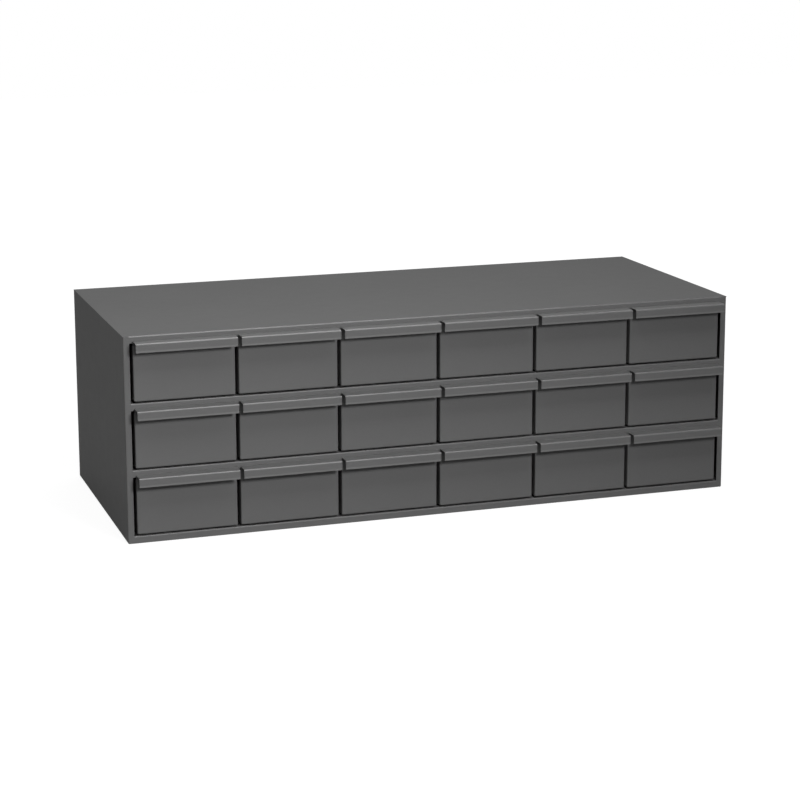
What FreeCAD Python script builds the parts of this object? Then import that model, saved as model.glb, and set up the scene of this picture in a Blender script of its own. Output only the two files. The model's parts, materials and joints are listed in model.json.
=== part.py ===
import FreeCAD, Part
import math
import os
import Sketcher

# Parts bin cabinet of folded and spot-welded sheet steel: a case with two shelves, and eighteen
# drawers in three rows and six columns. Millimetres, +X to the right, +Z up, the fronts face -Y.
# The origin is the middle of the footprint, drawer pulls included, on the surface it stands on.

doc = FreeCAD.newDocument("parts_bin_cabinet")


# Driving dimensions

SIZES = [
    # the case
    ("case_width", "857.25", "outside width"),
    ("case_depth", "355.6", "front face of the stiles to the back"),
    ("case_height", "276.2", "floor to the top surface"),
    ("sheet_gauge", "0.9", "thickness of every sheet"),
    ("bend_radius", "2.0", "outside radius of the bends"),
    ("stile_width", "8.5", "flanges of a side panel, the front one is the stile"),
    ("flange_height", "9.5", "front flange of the top, shelves and base"),
    ("back_flange", "14.0", "flange of the back panel under the top"),
    # the drawer fronts in the case's face
    ("stile_gap", "4.05", "stile to the nearest drawer front"),
    ("front_gap", "4.5", "between neighbouring drawer fronts"),
    ("closing_gap", "0.3", "back of a closed drawer front to the flange behind it"),
    ("running_gap", "0.3", "beads under a drawer to the shelf"),
    # the two beads pressed down in a drawer's bottom, which it slides on
    ("bead_height", "2.0", "bead below the bottom"),
    ("bead_width", "7.0", "bead across"),
    ("bead_inset", "14.0", "edge of a drawer front to the middle of the bead behind it"),
    ("bead_end", "14.0", "end of a bead to the stile face or to the drawer's back"),
    # the partitions
    ("partition_setback", "14.0", "stile face to a partition's front edge"),
    ("partition_flange", "8.0", "flange of a partition under the shelf above"),
    # the drawer
    ("rear_gap", "5.0", "rear wall of a closed drawer to the back panel"),
    ("wall_headroom", "3.4", "drawer wall's top to the flange above"),
    ("hem_depth", "6.0", "folded hem along the top of a drawer's side wall"),
    ("catch_setback", "32.0", "rear wall to the catch's front edge"),
    ("catch_length", "16.0", "catch along the wall"),
    ("catch_overlap", "4.5", "height of the catch behind the flange"),
    ("relief_radius", "1.1", "hole where the bends of a drawer front's lower corner meet"),
    # the pull
    ("ledge_drop", "6.35", "surface above to the top of the pull"),
    ("pull_depth", "19.05", "drawer front to the front of the pull"),
    ("lip_height", "12.0", "top of the pull to its lower edge"),
    ("pull_inset", "0.4", "end of the pull to the edge of the front"),
    ("ledge_bend", "1.5", "outside radius between the front and the ledge"),
    ("front_lap", "6.1", "stretch of the drawer front that is made with the pull"),
]
COLUMNS = 6
ROWS = 3
# A hem's two upper edges are rounded by this share of the sheet's thickness.
HEM_ROUND_SHARE = 0.85
# A bead's two lower edges are rounded by this share of its height.
BEAD_ROUND_SHARE = 0.9
# A bend's middle lies this share of its radius behind each of its two faces.
BEND_INSET_SHARE = 1 - math.sqrt(0.5)

sheet = doc.addObject("Spreadsheet::Sheet", "Sizes")
for line, (alias, number, meaning) in enumerate(SIZES, start=1):
    sheet.set(f"A{line}", alias)
    sheet.set(f"B{line}", number)
    sheet.set(f"C{line}", meaning)
    sheet.setAlias(f"B{line}", alias)
doc.recompute()


class Length:
    """A length with its number and the spreadsheet formula that it comes from."""

    def __init__(self, number, formula):
        self.number = number
        self.formula = formula

    def __add__(self, other):
        return Length(self.number + other.number, f"({self.formula} + {other.formula})")

    def __sub__(self, other):
        return Length(self.number - other.number, f"({self.formula} - {other.formula})")

    def __neg__(self):
        return Length(-self.number, f"(-{self.formula})")

    def __mul__(self, factor):
        return Length(self.number * factor, f"({self.formula} * {factor})")

    def __truediv__(self, factor):
        return Length(self.number / factor, f"({self.formula} / {factor})")


size = {alias: Length(float(number), f"Sizes.{alias}") for alias, number, meaning in SIZES}
ZERO = Length(0.0, "0")

gauge = size["sheet_gauge"]
bend = size["bend_radius"]
stile = size["stile_width"]
flange = size["flange_height"]
depth = size["case_depth"]
half_width = size["case_width"] / 2
top_underside = size["case_height"] - gauge

# The face is shared out evenly: six fronts between the stiles, three rows between base and top.
front_width = (size["case_width"] - stile * 2 - size["stile_gap"] * 2
               - size["front_gap"] * (COLUMNS - 1)) / COLUMNS
column_pitch = front_width + size["front_gap"]
row_pitch = (size["case_height"] - flange) / ROWS

# Distances back from the stile face. The back panel lies in front of the sides' rear flanges.
front_back_face = -size["closing_gap"]
front_face = front_back_face - gauge
pull_face = front_face - size["pull_depth"]
back_inner = depth - gauge * 2
drawer_rear = back_inner - size["rear_gap"]

# The stile face lies this far from the middle of the footprint.
face_offset = -(depth + pull_face) / 2


def column_middle(column):
    """The middle of a column of drawers, counted from the left."""
    return column_pitch * (column - (COLUMNS + 1) / 2)


# A drawer's underside lies this far above its shelf, and the heights below start from it.
ride_height = size["bead_height"] + size["running_gap"]
wall_top = row_pitch - flange - size["wall_headroom"] - ride_height
catch_top = row_pitch - flange + size["catch_overlap"] - ride_height
ledge_top = row_pitch - size["ledge_drop"] - ride_height


# Helpers for bodies, sketches and features


def bind(obj, name, length):
    """Ties a property to the spreadsheet."""
    obj.setExpression(name, length.formula)


def new_body(label, x=ZERO, z=ZERO):
    """A body whose own origin lies on the stile face, x from the middle and z above the floor."""
    body = doc.addObject("PartDesign::Body", label)
    body.Label = label
    bind(body, ".Placement.Base.x", x)
    bind(body, ".Placement.Base.y", face_offset)
    bind(body, ".Placement.Base.z", z)
    return body


def hold(sketch, geometry, axis, length):
    """Holds the first point of a line at a length from the sketch's origin, along X or Y."""
    if length.number == 0:
        other_axis = -2 if axis == "X" else -1
        sketch.addConstraint(Sketcher.Constraint("PointOnObject", geometry, 1, other_axis))
        return
    if length.number < 0:
        ends = (geometry, 1, -1, 1)
        length = -length
    else:
        ends = (-1, 1, geometry, 1)
    index = sketch.addConstraint(Sketcher.Constraint("Distance" + axis, *ends, length.number))
    bind(sketch, f"Constraints[{index}]", length)


def round_corner(sketch, before, after, centre, entry, leave, radius):
    """An arc between two square lines, entry and leave being their directions."""
    left_turn = entry.x * leave.y - entry.y * leave.x > 0
    entry_angle = math.atan2(-leave.y, -leave.x)
    leave_angle = math.atan2(entry.y, entry.x)
    angles = (entry_angle, leave_angle) if left_turn else (leave_angle, entry_angle)
    first, last = (1, 2) if left_turn else (2, 1)
    circle = Part.Circle(centre, FreeCAD.Vector(0, 0, 1), radius.number)
    arc = sketch.addGeometry(Part.ArcOfCircle(circle, *angles), False)
    sketch.addConstraint(Sketcher.Constraint("Tangent", before, 2, arc, first))
    sketch.addConstraint(Sketcher.Constraint("Tangent", arc, last, after, 1))
    index = sketch.addConstraint(Sketcher.Constraint("Radius", arc, radius.number))
    bind(sketch, f"Constraints[{index}]", radius)


def outline(sketch, corners):
    """A closed outline of level and upright lines, from a (u, v, radius) for each corner."""
    count = len(corners)
    points = [FreeCAD.Vector(u.number, v.number, 0) for u, v, radius in corners]
    ways = [(points[(i + 1) % count] - points[i]).normalize() for i in range(count)]
    lines = []
    for i in range(count):
        after = (i + 1) % count
        start = points[i] + ways[i] * corners[i][2].number
        end = points[after] - ways[i] * corners[after][2].number
        lines.append(sketch.addGeometry(Part.LineSegment(start, end), False))
        upright = abs(ways[i].y) > abs(ways[i].x)
        sketch.addConstraint(Sketcher.Constraint("Vertical" if upright else "Horizontal", lines[i]))
    for i in range(count):
        radius = corners[i][2]
        if radius.number == 0:
            sketch.addConstraint(Sketcher.Constraint("Coincident", lines[i - 1], 2, lines[i], 1))
        else:
            centre = points[i] + (ways[i] - ways[i - 1]) * radius.number
            round_corner(sketch, lines[i - 1], lines[i], centre, ways[i - 1], ways[i], radius)
    for i in range(count):
        upright = abs(ways[i].y) > abs(ways[i].x)
        hold(sketch, lines[i], "X" if upright else "Y", corners[i][0 if upright else 1])


def rectangle(sketch, u_low, u_high, v_low, v_high):
    """A closed rectangle between two lengths along each axis."""
    outline(sketch, [(u_low, v_low, ZERO), (u_high, v_low, ZERO),
                     (u_high, v_high, ZERO), (u_low, v_high, ZERO)])


def folded_strip(sketch, points, radii):
    """The section of a sheet whose outer face runs through points and turns left at each bend."""
    last = len(points) - 1
    ways = []
    for i in range(last):
        run = (points[i + 1][0].number - points[i][0].number,
               points[i + 1][1].number - points[i][1].number)
        ways.append((0 if run[0] == 0 else math.copysign(1, run[0]),
                     0 if run[1] == 0 else math.copysign(1, run[1])))
    inner = []
    for i in range(last + 1):
        u, v = points[i]
        for way in {ways[max(i - 1, 0)], ways[min(i, last - 1)]}:
            u = u - gauge * way[1]
            v = v + gauge * way[0]
        inner.append((u, v))
    corners = [(u, v, radius) for (u, v), radius in zip(points, [ZERO, *radii, ZERO])]
    inner_radii = [ZERO, *[radius - gauge for radius in radii], ZERO]
    corners += [(u, v, radius) for (u, v), radius in reversed(list(zip(inner, inner_radii)))]
    outline(sketch, corners)


def new_sketch(body, name, plane, offset=ZERO):
    """A sketch on one of the body's own planes, moved by offset along the plane's normal."""
    sketch = body.newObject("Sketcher::SketchObject", name)
    support = [item for item in body.Origin.OriginFeatures if item.Role == plane][0]
    sketch.AttachmentSupport = [(support, "")]
    sketch.MapMode = "FlatFace"
    bind(sketch, ".AttachmentOffset.Base.z", offset)
    return sketch


def pad(body, sketch, name, length, side="One side"):
    """Extrudes a sketch along its normal, or half each way where side is Symmetric."""
    feature = body.newObject("PartDesign::Pad", name)
    feature.Profile = sketch
    feature.SideType = side
    bind(feature, "Length", length)
    sketch.Visibility = False
    return feature


def pocket(body, sketch, name):
    """Cuts a sketch right through the body, both ways, and checks that something was cut."""
    doc.recompute()
    before = body.Shape.Volume
    feature = body.newObject("PartDesign::Pocket", name)
    feature.Profile = sketch
    feature.SideType = "Symmetric"
    feature.Type = "ThroughAll"
    doc.recompute()
    if not body.Shape.Volume < before:
        raise RuntimeError(f"{body.Label}: {name} cuts nothing")
    return feature


def round_edges(body, name, wanted):
    """Rounds the straight edges of the last feature whose middle passes the test wanted."""
    doc.recompute()
    base = body.Tip
    names = []
    for number, edge in enumerate(base.Shape.Edges, start=1):
        middle = edge.valueAt((edge.FirstParameter + edge.LastParameter) / 2)
        if wanted(middle):
            names.append(f"Edge{number}")
    feature = body.newObject("PartDesign::Fillet", name)
    feature.Base = (base, names)
    bind(feature, "Radius", bend)
    return feature


def hollow(body, name, open_face):
    """Leaves a wall of one sheet, open where a flat face's outward way passes open_face."""
    doc.recompute()
    base = body.Tip
    names = []
    for number, face in enumerate(base.Shape.Faces, start=1):
        if isinstance(face.Surface, Part.Plane) and open_face(face.normalAt(0, 0)):
            names.append(f"Face{number}")
    feature = body.newObject("PartDesign::Thickness", name)
    feature.Base = (base, names)
    feature.Reversed = True
    bind(feature, "Value", gauge)
    doc.recompute()
    if not body.Shape.Volume < base.Shape.Volume:
        raise RuntimeError(f"{body.Label}: {name} left the block solid")
    return feature


def punch(body, name, x, y, z, radius):
    """Takes a ball out of a bend, which leaves a round hole there, and checks that it cut."""
    doc.recompute()
    before = body.Shape.Volume
    ball = body.newObject("PartDesign::SubtractiveSphere", name)
    bind(ball, "Radius", radius)
    for axis, length in (("x", x), ("y", y), ("z", z)):
        bind(ball, f".Placement.Base.{axis}", length)
    doc.recompute()
    if not body.Shape.Volume < before:
        raise RuntimeError(f"{body.Label}: {name} cuts nothing")
    return ball


def copy_of(master, label, x=ZERO, z=ZERO):
    """A body of its own that repeats another one in a new place."""
    body = new_body(label, x, z)
    body.newObject("PartDesign::FeatureBase", "clone").BaseFeature = master
    return body


# The case


def side_panel(label, way):
    """A web with flanges at the front, rear and bottom; way is -1 at the left and 1 at the right."""
    body = new_body(label)
    sketch = new_sketch(body, "footprint", "XY_Plane")
    web = half_width * way
    lip = (half_width - stile) * way
    rectangle(sketch, *sorted((web, lip), key=lambda length: length.number), ZERO, depth)
    pad(body, sketch, "block", top_underside)
    outer = half_width.number * way
    round_edges(body, "bends", lambda middle: abs(middle.x - outer) < 0.001
                and middle.z < top_underside.number - 0.001)
    hollow(body, "folds", lambda normal: normal.z > 0.999 or normal.x * way < -0.999)
    return body


def top_panel():
    """A sheet over the sides' upper edges, turned down at the front between the stiles."""
    body = new_body("top_panel")
    sketch = new_sketch(body, "fold", "YZ_Plane")
    height = size["case_height"]
    folded_strip(sketch, [(depth, height), (ZERO, height), (ZERO, height - flange)], [bend])
    pad(body, sketch, "panel", (half_width - stile) * 2, "Symmetric")
    sketch = new_sketch(body, "ends", "XY_Plane", top_underside)
    rectangle(sketch, -half_width, stile - half_width, ZERO, depth)
    rectangle(sketch, half_width - stile, half_width, ZERO, depth)
    pad(body, sketch, "panel_ends", gauge)
    return body


def deck(label, z=ZERO):
    """Base or shelf: a sheet between the webs, turned down at the front and at the back panel."""
    body = new_body(label, z=z)
    sketch = new_sketch(body, "fold", "YZ_Plane")
    folded_strip(sketch, [(back_inner, ZERO), (back_inner, flange), (ZERO, flange), (ZERO, ZERO)],
                 [bend, bend])
    pad(body, sketch, "channel", (half_width - gauge) * 2, "Symmetric")
    sketch = new_sketch(body, "notches", "XY_Plane")
    inside = half_width - stile
    outside = half_width + bend
    for way in (-1, 1):
        reach = sorted((inside * way, outside * way), key=lambda length: length.number)
        rectangle(sketch, *reach, -bend, bend)
        rectangle(sketch, *reach, back_inner - bend, depth + bend)
    pocket(body, sketch, "corner_notches")
    return body


def back_panel():
    """A sheet welded to the fronts of the sides' rear flanges, with a flange under the top."""
    body = new_body("back_panel")
    sketch = new_sketch(body, "fold", "YZ_Plane")
    outer = depth - gauge
    folded_strip(sketch, [(outer, bend), (outer, top_underside),
                          (outer - size["back_flange"], top_underside)], [bend])
    pad(body, sketch, "panel", (half_width - bend) * 2, "Symmetric")
    return body


def partition(label, x, z):
    """An upright sheet between two drawers, with a flange under the shelf above it."""
    body = new_body(label, x, z)
    # It stops short of the back panel's own flange.
    rear = depth - gauge - size["back_flange"] - bend
    sketch = new_sketch(body, "fold", "XZ_Plane", -rear)
    right = gauge / 2
    height = row_pitch - gauge
    folded_strip(sketch, [(right, ZERO), (right, height), (right - size["partition_flange"], height)],
                 [bend])
    pad(body, sketch, "sheet", rear - size["partition_setback"])
    return body


# A drawer


def drawer(label, x, z):
    """One folded tray whose front runs up and over as a full-width pull, open at both ends."""
    body = new_body(label, x, z)
    half = front_width / 2

    sketch = new_sketch(body, "footprint", "XY_Plane")
    rectangle(sketch, -half, half, front_face, drawer_rear)
    pad(body, sketch, "block", wall_top - gauge)
    front = front_face.number
    # The upright edges of the front, and all four edges of the bottom
    round_edges(body, "bends", lambda middle: abs(middle.z) < 0.001
                or abs(middle.y - front) < 0.001 and abs(middle.x) > half.number - 0.001)
    hollow(body, "folds", lambda normal: normal.z > 0.999)

    sketch = new_sketch(body, "pull_section", "YZ_Plane")
    folded_strip(sketch, [(front_back_face, wall_top - size["front_lap"]), (front_back_face, ledge_top),
                          (pull_face, ledge_top), (pull_face, ledge_top - size["lip_height"])],
                 [size["ledge_bend"], bend])
    pad(body, sketch, "pull", (half - size["pull_inset"]) * 2, "Symmetric")

    # The hems run from the front's upright bends to the rear wall.
    wall_rear = drawer_rear - gauge
    wall_front = front_face + bend
    sketch = new_sketch(body, "hem_sections", "XZ_Plane", -wall_rear)
    low = wall_top - size["hem_depth"]
    round_over = gauge * HEM_ROUND_SHARE
    for left, right in ((-half, gauge * 2 - half), (half - gauge * 2, half)):
        outline(sketch, [(left, low, ZERO), (right, low, ZERO),
                         (right, wall_top, round_over), (left, wall_top, round_over)])
    pad(body, sketch, "hems", wall_rear - wall_front)

    catch_front = drawer_rear - size["catch_setback"]
    catch_rear = catch_front + size["catch_length"]
    sketch = new_sketch(body, "catch_sections", "XZ_Plane", -catch_rear)
    rectangle(sketch, -half, gauge - half, low, catch_top)
    rectangle(sketch, half - gauge, half, low, catch_top)
    pad(body, sketch, "catches", size["catch_length"])

    inset = bend * BEND_INSET_SHARE
    for way, side in ((-1, "left"), (1, "right")):
        punch(body, f"{side}_relief", (half - inset) * way, front_face + inset, inset,
              size["relief_radius"])

    bead_rear = drawer_rear - size["bead_end"]
    sketch = new_sketch(body, "bead_sections", "XZ_Plane", -bead_rear)
    half_bead = size["bead_width"] / 2
    bottom = -size["bead_height"]
    round_over = size["bead_height"] * BEAD_ROUND_SHARE
    for way in (-1, 1):
        middle = (front_width / 2 - size["bead_inset"]) * way
        left = middle - half_bead
        right = middle + half_bead
        outline(sketch, [(left, bottom, round_over), (right, bottom, round_over),
                         (right, gauge, ZERO), (left, gauge, ZERO)])
    pad(body, sketch, "beads", bead_rear - size["bead_end"])
    return body


# Assembly


def build_case():
    """The welded case, with its partitions and end guides."""
    pieces = [side_panel("left_side", -1), side_panel("right_side", 1), top_panel(),
              deck("base_panel"), back_panel()]
    for row, label in ((1, "upper_shelf"), (2, "lower_shelf")):
        pieces.append(deck(label, row_pitch * (ROWS - row)))
    master = None
    for row in range(1, ROWS + 1):
        level = flange + row_pitch * (ROWS - row)
        for place in range(COLUMNS + 1):
            label = f"partition_row{row}_{place}"
            if place == 0:
                label = f"left_guide_row{row}"
            if place == COLUMNS:
                label = f"right_guide_row{row}"
            x = column_pitch * (place - COLUMNS / 2)
            if master is None:
                master = partition(label, x, level)
                pieces.append(master)
            else:
                pieces.append(copy_of(master, label, x, level))
    return pieces


def build_drawers():
    """Six drawers in each row, counted from the top left."""
    pieces = []
    for row in range(1, ROWS + 1):
        level = flange + row_pitch * (ROWS - row) + ride_height
        for column in range(1, COLUMNS + 1):
            label = f"drawer_row{row}_col{column}"
            x = column_middle(column)
            if pieces:
                pieces.append(copy_of(pieces[0], label, x, level))
            else:
                pieces.append(drawer(label, x, level))
    return pieces


def check(pieces):
    """Stops on any failed object, and on any piece that is not one valid solid."""
    for obj in doc.Objects:
        if "Invalid" in obj.State or "Error" in obj.State:
            raise RuntimeError(f"{obj.Name} failed: {obj.State}")
    for piece in pieces:
        shape = piece.Shape
        if shape.isNull() or not shape.isValid() or len(shape.Solids) != 1:
            raise RuntimeError(f"{piece.Label} is not one valid solid")


pieces = build_case() + build_drawers()
doc.recompute()
check(pieces)
os.makedirs("parts", exist_ok=True)
for piece in pieces:
    piece.Shape.exportStep(os.path.join("parts", piece.Label + ".step"))
    box = piece.Shape.BoundBox
    print(f"{piece.Label}: {box.XLength:.2f} x {box.YLength:.2f} x {box.ZLength:.2f} mm,"
          f" volume {piece.Shape.Volume / 1000:.1f} cm3")
print(f"{len(pieces)} pieces, drawer front {front_width.number:.2f} mm wide,"
      f" travel {(drawer_rear - size['catch_setback'] - gauge).number:.1f} mm")
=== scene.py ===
# %% [markdown]
# # Parts bin cabinet: finish, light and camera
#
# The cabinet is folded sheet steel under one grey baked enamel. Its sheets, bends, gaps and pulls
# are the imported CAD solids, which are already the right shape, so they stay as they are and get a
# finish. What this file adds is the paint with its fine texture, rubbed pull edges that also carry
# a painted highlight, a pale studio, and a camera where the photographer's stood.

# %% Load the imported model
import json
import math

import bmesh
import bpy
from mathutils import Euler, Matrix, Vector

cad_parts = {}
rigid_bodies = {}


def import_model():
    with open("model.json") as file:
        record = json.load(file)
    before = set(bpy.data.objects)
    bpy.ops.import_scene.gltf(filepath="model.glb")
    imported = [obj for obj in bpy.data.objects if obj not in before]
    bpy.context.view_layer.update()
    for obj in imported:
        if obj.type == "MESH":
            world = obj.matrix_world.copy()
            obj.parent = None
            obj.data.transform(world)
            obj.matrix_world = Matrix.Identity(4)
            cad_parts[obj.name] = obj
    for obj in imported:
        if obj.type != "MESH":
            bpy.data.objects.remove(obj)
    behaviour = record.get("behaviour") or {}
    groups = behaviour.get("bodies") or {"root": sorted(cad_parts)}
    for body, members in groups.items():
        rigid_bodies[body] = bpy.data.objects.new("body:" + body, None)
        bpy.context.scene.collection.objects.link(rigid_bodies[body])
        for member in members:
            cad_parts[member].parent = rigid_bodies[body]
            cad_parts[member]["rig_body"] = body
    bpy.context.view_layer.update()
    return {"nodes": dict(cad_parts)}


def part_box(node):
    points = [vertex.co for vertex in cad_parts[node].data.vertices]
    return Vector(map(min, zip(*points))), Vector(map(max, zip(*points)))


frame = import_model()
case_nodes = [name for name, node in frame["nodes"].items() if node["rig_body"] == "case"]
drawer_nodes = [name for name in frame["nodes"] if name.startswith("drawer_")]
print("case pieces", len(case_nodes), "drawers", len(drawer_nodes))

# %% [markdown]
# ## Reading the sizes off the frame
#
# The pulls' front bends and lower edges are painted lighter, partly as rubbed paint and partly as a
# painted highlight. The boxes of two drawers give those places, and keep them right if the CAD
# changes, which typed numbers would not. Only the height of the pull's lip is typed, because no
# piece's box shows it.

# %% Places on the cabinet
drawer_low, drawer_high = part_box("drawer_row1_col1")
lower_drawer_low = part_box("drawer_row2_col1")[0]
ROW_PITCH = drawer_low.z - lower_drawer_low.z
PULL_FRONT = drawer_low.y
DRAWER_TOP = drawer_high.z
LIP_HEIGHT = 0.012
print("row pitch", round(ROW_PITCH, 5), "pull front", round(PULL_FRONT, 5))

# %% [markdown]
# ## A small helper for node materials
#
# A finish here is a dozen nodes. Writing each one as a call that takes its inputs, a number or
# another node's output, reads like the formula it is and keeps the links next to what they feed.


# %% Node helper
def add(tree, kind, feeds=None, **settings):
    """Adds a node, sets its properties, and fills its inputs with values or with other outputs."""
    node = tree.nodes.new(kind)
    for name, value in settings.items():
        setattr(node, name, value)
    for key, value in (feeds or {}).items():
        if isinstance(value, bpy.types.NodeSocket):
            tree.links.new(value, node.inputs[key])
        else:
            node.inputs[key].default_value = value
    return node


def maths(tree, operation, *values):
    """The output of a Math node on one to three values."""
    node = add(tree, "ShaderNodeMath", dict(enumerate(values)), operation=operation)
    return node.outputs[0]


def remap(tree, value, low, high, to_low, to_high):
    """The value's stretch from low to high, turned smoothly into to_low to to_high."""
    feeds = {"Value": value, "From Min": low, "From Max": high, "To Min": to_low, "To Max": to_high}
    return add(tree, "ShaderNodeMapRange", feeds, interpolation_type="SMOOTHSTEP").outputs["Result"]


NOISE_SPAN = (0.3, 0.7)


def noise(tree, place, cells_per_metre, detail=2.0, roughness=0.5):
    """Cloudy noise on the piece's own coordinates. Most of it lies within NOISE_SPAN."""
    feeds = {"Vector": place, "Scale": cells_per_metre, "Detail": detail, "Roughness": roughness}
    return add(tree, "ShaderNodeTexNoise", feeds).outputs["Fac"]


# %% [markdown]
# ## The colour of the enamel
#
# Baked enamel on sheet steel is one even grey, but never a flat one. Pigment and film thickness
# drift a little over a hand's width, the coat is finely mottled, and hardly visible specks of dust
# are baked in. A picture of paint would stretch at the bends. Noise on Object coordinates has no
# seams and stays on the sheet when a drawer slides out.

# %% Tone of the paint
DRIFT_CELLS, DRIFT = 7.0, (0.985, 1.015)
MOTTLE_CELLS, MOTTLE = 330.0, (0.99, 1.01)
SPECK_CELLS, SPECK_EDGE, SPECK_TONE = 26.0, (0.006, 0.016), 0.55


def paint_tone(tree, place, grey):
    """The grey with slow drift, fine mottle and a few darker specks."""
    drift = remap(tree, noise(tree, place, DRIFT_CELLS, 3.0), *NOISE_SPAN, *DRIFT)
    mottle = remap(tree, noise(tree, place, MOTTLE_CELLS, 2.0, 0.6), *NOISE_SPAN, *MOTTLE)
    speck_cells = add(tree, "ShaderNodeTexVoronoi", {"Vector": place, "Scale": SPECK_CELLS})
    speck = remap(tree, speck_cells.outputs["Distance"], *SPECK_EDGE, SPECK_TONE, 1.0)
    tone = maths(tree, "MULTIPLY", maths(tree, "MULTIPLY", drift, mottle), speck)
    return maths(tree, "MULTIPLY", tone, grey)


# %% [markdown]
# ## The enamel's surface
#
# The coat is satin, and its gloss varies slightly from place to place. Seen close it has a fine
# orange peel, about a millimetre from dimple to dimple and a few micrometres deep. That is far too
# fine to model, so it is bump. Where hands rub it, the coat gets smoother. It is also painted
# lighter there, partly as rubbed paint and partly as a painted highlight.

# %% Baked enamel
GLOSS_CELLS, SATIN = 60.0, (0.35, 0.37)
PEEL_CELLS, PEEL_DEPTH = 1100.0, 0.000003
# How much lighter and smoother the rubbed pull edges get; the lighter tone is partly a painted
# highlight.
WORN_AND_HIGHLIGHT_LIGHTER, WORN_SMOOTHER = 0.30, 0.06
SPECULAR_LEVEL = 0.6


def enamel(name, grey, wear_and_highlight=None):
    """Grey baked enamel. The third argument builds a mask from the tree and the place: 1 where the
    paint is rubbed smoother and painted lighter, partly as a painted highlight.
    """
    material = bpy.data.materials.new(name)
    material.use_nodes = True
    tree = material.node_tree
    shader = tree.nodes["Principled BSDF"]
    place = add(tree, "ShaderNodeTexCoord").outputs["Object"]

    tone = paint_tone(tree, place, grey)
    roughness = remap(tree, noise(tree, place, GLOSS_CELLS, 3.0), *NOISE_SPAN, *SATIN)
    if wear_and_highlight:
        wear_and_highlight_mask = wear_and_highlight(tree, place)
        # Painted lighter along the mask: partly rubbed paint, partly a painted highlight on the
        # pulls' bends.
        tone = maths(tree, "MULTIPLY_ADD", wear_and_highlight_mask, grey * WORN_AND_HIGHLIGHT_LIGHTER, tone)
        roughness = maths(tree, "MULTIPLY_ADD", wear_and_highlight_mask, -WORN_SMOOTHER, roughness)
    colour = add(tree, "ShaderNodeCombineColor", {"Red": tone, "Green": tone, "Blue": tone})
    tree.links.new(colour.outputs["Color"], shader.inputs["Base Color"])
    tree.links.new(roughness, shader.inputs["Roughness"])

    peel = noise(tree, place, PEEL_CELLS, 2.0, 0.55)
    bump = add(tree, "ShaderNodeBump", {"Strength": 1.0, "Distance": PEEL_DEPTH, "Height": peel})
    tree.links.new(bump.outputs["Normal"], shader.inputs["Normal"])
    shader.inputs["Specular IOR Level"].default_value = SPECULAR_LEVEL
    return material


# %% [markdown]
# ## Rubbed edges and a painted highlight along the pulls
#
# Fingers hook behind each pull and rub its lower edge and front bend, which get smoother and
# lighter. The lighter tone is partly rubbed paint and partly a painted highlight, which draws the
# bright lines along the bends. Painting a mask on the mesh would change the imported mesh. So the
# mask is worked out from the place: the height in the row and the distance behind the pull's face.
# Wrapped at the row pitch, one mask serves all three rows. A drawer's box ends at its catches, a
# little above its pull, and the bands are counted from just under them.

# %% Where the pulls are rubbed and a highlight is painted
BELOW_CATCHES = 0.0004
LOWER_BAND, UPPER_BAND, FACE_BAND = (0.0006, 0.0022), (0.0010, 0.0040), (0.002, 0.004)
FULL_TO_NONE = (1.0, 0.0)
PATCH_CELLS, PATCH_SPAN, PATCHES = 45.0, (0.40, 0.60), (0.85, 1.0)


def pull_wear_and_highlight(tree, place):
    """1 along the pulls' lower edges and front bends, rubbed and painted lighter as a highlight,
    broken up by noise.
    """
    axes = add(tree, "ShaderNodeSeparateXYZ", {"Vector": place})
    lip_low = DRAWER_TOP - BELOW_CATCHES - LIP_HEIGHT
    height = maths(tree, "SUBTRACT", axes.outputs["Z"], lip_low)
    height = maths(tree, "WRAP", height, ROW_PITCH * 0.9, -ROW_PITCH * 0.1)
    lower = remap(tree, maths(tree, "ABSOLUTE", height), *LOWER_BAND, *FULL_TO_NONE)
    from_bend = maths(tree, "ABSOLUTE", maths(tree, "SUBTRACT", height, LIP_HEIGHT))
    upper = remap(tree, from_bend, *UPPER_BAND, *FULL_TO_NONE)
    behind_face = maths(tree, "SUBTRACT", axes.outputs["Y"], PULL_FRONT)
    front = remap(tree, behind_face, *FACE_BAND, *FULL_TO_NONE)
    patches = remap(tree, noise(tree, place, PATCH_CELLS, 4.0), *PATCH_SPAN, *PATCHES)
    edges = maths(tree, "MAXIMUM", lower, upper)
    return maths(tree, "MULTIPLY", maths(tree, "MULTIPLY", edges, front), patches)


# %% [markdown]
# ## Painting the sheets
#
# The imported solids keep their meshes. Only what sits in their material slots changes, so the same
# case and drawers stay under the joints that move them. Case and drawers share one grey, and only
# the drawers get the lighter pull edges, which are partly rubbed paint and partly a painted
# highlight.

# %% Paint the CAD pieces
ENAMEL_GREY = 0.155
case_enamel = enamel("case_enamel", ENAMEL_GREY)
# The drawers' enamel carries the painted highlight along the pulls' bends, mixed with rubbed paint.
drawer_enamel = enamel("drawer_enamel", ENAMEL_GREY, pull_wear_and_highlight)


def paint(node, material):
    """Puts one material on a CAD piece, in place of the plain one that it came with."""
    node.data.materials.clear()
    node.data.materials.append(material)


for name in case_nodes:
    paint(frame["nodes"][name], case_enamel)
for name in drawer_nodes:
    paint(frame["nodes"][name], drawer_enamel)
print("painted", len(case_nodes) + len(drawer_nodes), "pieces")

# %% [markdown]
# ## The background
#
# The photographed cabinet stands alone on white. Lamps strong enough to turn a floor white would
# also bleach the cabinet, so the floor and the world behind it add a glow of their own, which the
# Light Path node lets only the camera see, also through glass. Mirror rays see a tenth of it.
# Satin enamel spreads its mirror rays over half the room, and the dark side in the photograph
# shows that most of the room round the cabinet was dim.

# %% Which rays see the background
MIRRORED_SHARE = 0.1


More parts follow.
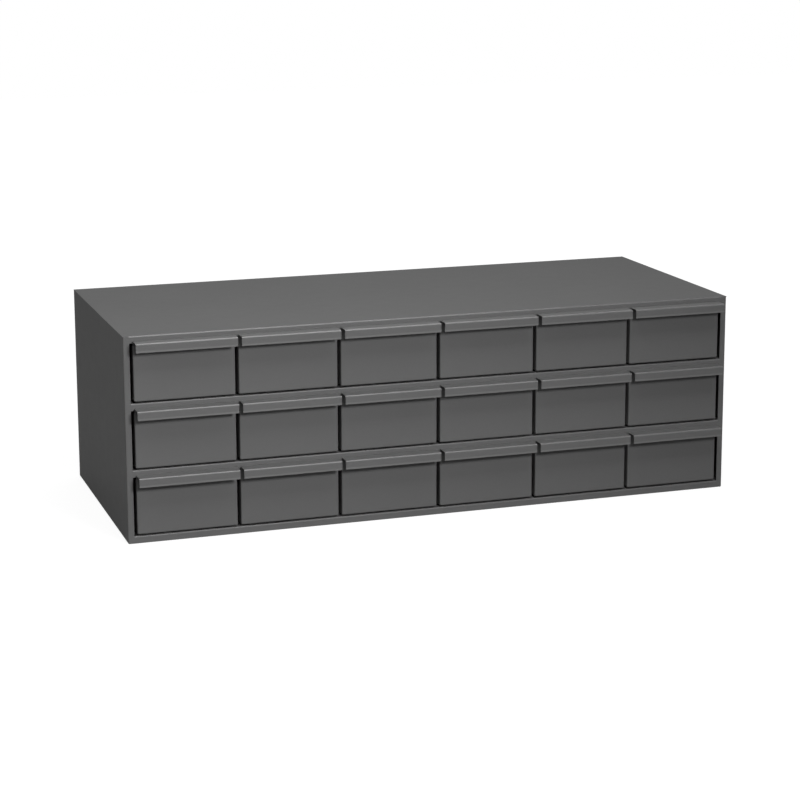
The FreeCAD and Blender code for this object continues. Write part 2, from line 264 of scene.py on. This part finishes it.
def sees_background(tree):
    """1 for camera and transmission rays, a tenth for glossy rays and 0 for the others."""
    rays = add(tree, "ShaderNodeLightPath").outputs
    mirrored = maths(tree, "MULTIPLY", rays["Is Glossy Ray"], MIRRORED_SHARE)
    direct = maths(tree, "MAXIMUM", rays["Is Camera Ray"], rays["Is Transmission Ray"])
    return maths(tree, "MAXIMUM", direct, mirrored)


# %% [markdown]
# ## The floor
#
# A wide pale floor gives the cabinet something to stand on and takes the soft shadow under its
# edges. It is one flat face a hair below the case, so that the two never share a plane. Its glow
# is a little short of white round the cabinet, where the lamps add the rest, and the shadow is
# where they don't.

# %% Floor
FLOOR_HALF = 6.0
FLOOR_DROP = 0.0002
mesh = bmesh.new()
bmesh.ops.create_grid(mesh, x_segments=1, y_segments=1, size=FLOOR_HALF)
bmesh.ops.translate(mesh, verts=mesh.verts, vec=(0, 0, -FLOOR_DROP))
floor_data = bpy.data.meshes.new("studio_floor")
mesh.to_mesh(floor_data)
mesh.free()
floor = bpy.data.objects.new("studio_floor", floor_data)
bpy.context.scene.collection.objects.link(floor)
print("floor", 2 * FLOOR_HALF, "m wide")

# %% Pale card on the floor
WHITE = (1, 1, 1, 1)
CARD_TONE, CARD_ROUGHNESS = 0.12, 0.9
NEAR_AND_FAR, GLOW = (0.6, 2.2), (0.93, 1.0)

card = bpy.data.materials.new("pale_card")
card.use_nodes = True
tree = card.node_tree
shader = tree.nodes["Principled BSDF"]
shader.inputs["Base Color"].default_value = (CARD_TONE, CARD_TONE, CARD_TONE, 1)
shader.inputs["Roughness"].default_value = CARD_ROUGHNESS
shader.inputs["Emission Color"].default_value = WHITE
place = add(tree, "ShaderNodeTexCoord").outputs["Object"]
distance = add(tree, "ShaderNodeVectorMath", {0: place}, operation="LENGTH").outputs["Value"]
glow = remap(tree, distance, *NEAR_AND_FAR, *GLOW)
lift = maths(tree, "MULTIPLY", sees_background(tree), glow)
tree.links.new(lift, shader.inputs["Emission Strength"])
floor_data.materials.append(card)
print("card glows from", GLOW[0], "to", GLOW[1])

# %% [markdown]
# ## The room
#
# The world is the room round the cabinet. To the camera it is white. To all other rays it is a
# low even level, which fills the shadows a little, as pale walls far away would.

# %% World
ROOM_LEVEL = 0.114
world = bpy.data.worlds.new("studio")
bpy.context.scene.world = world
world.use_nodes = True
tree = world.node_tree
background = tree.nodes["Background"]
level = maths(tree, "MAXIMUM", sees_background(tree), ROOM_LEVEL)
tree.links.new(level, background.inputs["Strength"])
background.inputs["Color"].default_value = WHITE
print("room level", ROOM_LEVEL)

# %% [markdown]
# ## Lamps
#
# Two soft boxes hang overhead, one in front of the cabinet and one behind it, and light the top
# evenly. A wide one high on the left lifts the left side a little. The fronts get theirs from a
# small one straight ahead, so that the slots between the pulls stay dark. Its grid narrows the
# beam, which points past the left end, so the fronts fade to the right as in the photograph.
#
# Such a small lamp, mirrored in the satin top, would burn a white patch into it when the cabinet
# is seen from behind. So the enamel doesn't mirror it. A sheen lamp overhead, which only mirror
# rays see, draws the bright lines along the bends instead; on the pulls a painted highlight in the
# enamel adds to them. The watts come from matching greys along the fronts, top and side.


# %% Soft box helper
def soft_box(name, place, aim, width, height, watts, spread=math.pi):
    """An area lamp at place that faces the point aim; spread is the whole angle of its beam."""
    data = bpy.data.lights.new(name, "AREA")
    data.shape = "RECTANGLE"
    data.size, data.size_y = width, height
    data.energy = watts
    data.spread = spread
    lamp = bpy.data.objects.new(name, data)
    lamp.location = place
    lamp.rotation_euler = (Vector(aim) - Vector(place)).to_track_quat("-Z", "Y").to_euler()
    bpy.context.scene.collection.objects.link(lamp)
    print("lamp", name, watts, "W")
    return lamp


# %% Soft boxes
CASE_MIDDLE = (0.0, 0.0, 0.2)
OVER_THE_FRONT = (0.0, -1.2, 2.4)
LEFT_END, PAST_LEFT_END = (-0.3, 0.0, 0.15), (-0.9, 0.0, -0.2)
GRID_ANGLE = math.radians(116)

soft_box("front_overhead", OVER_THE_FRONT, CASE_MIDDLE, 1.8, 1.0, 20.3)
soft_box("rear_overhead", (0.2, 1.2, 2.2), CASE_MIDDLE, 1.6, 1.2, 16.2)
soft_box("high_left", (-1.8, -0.6, 2.0), LEFT_END, 1.2, 1.2, 6.6)
key = soft_box("front_middle", (0.1, -1.7, 0.85), PAST_LEFT_END, 0.28, 0.28, 8.2, GRID_ANGLE)
key.visible_glossy = False
sheen = soft_box("front_sheen", OVER_THE_FRONT, CASE_MIDDLE, 1.8, 1.0, 50.0)
sheen.visible_diffuse = False

# %% [markdown]
# ## The camera
#
# The camera's place, turn and lens come from seven corners of the case measured in the photograph
# and fitted to the case's real size. The photograph's upright edges hardly converge, which is what
# a camera held nearly level with its lens shifted down gives. A tenth of the frame is kept of that
# shift. More fits a little better, but pushes the views from other sides off centre.

# %% Camera
SENSOR_MM, LENS_MM, LENS_SHIFT = 36.0, 97.485, -0.1
CAMERA_PLACE = (-0.948218, -2.856756, 0.838798)
CAMERA_TURN = (78.7272, 0.1575, -18.4239)

camera_data = bpy.data.cameras.new("camera")
camera_data.sensor_width = SENSOR_MM
camera_data.lens = LENS_MM
camera_data.shift_y = LENS_SHIFT
camera = bpy.data.objects.new("camera", camera_data)
camera.location = CAMERA_PLACE
camera.rotation_euler = Euler(tuple(math.radians(turn) for turn in CAMERA_TURN))
bpy.context.scene.collection.objects.link(camera)
bpy.context.scene.camera = camera
bpy.context.scene.view_settings.view_transform = "Standard"
print("camera", CAMERA_PLACE, "lens", LENS_MM, "mm")
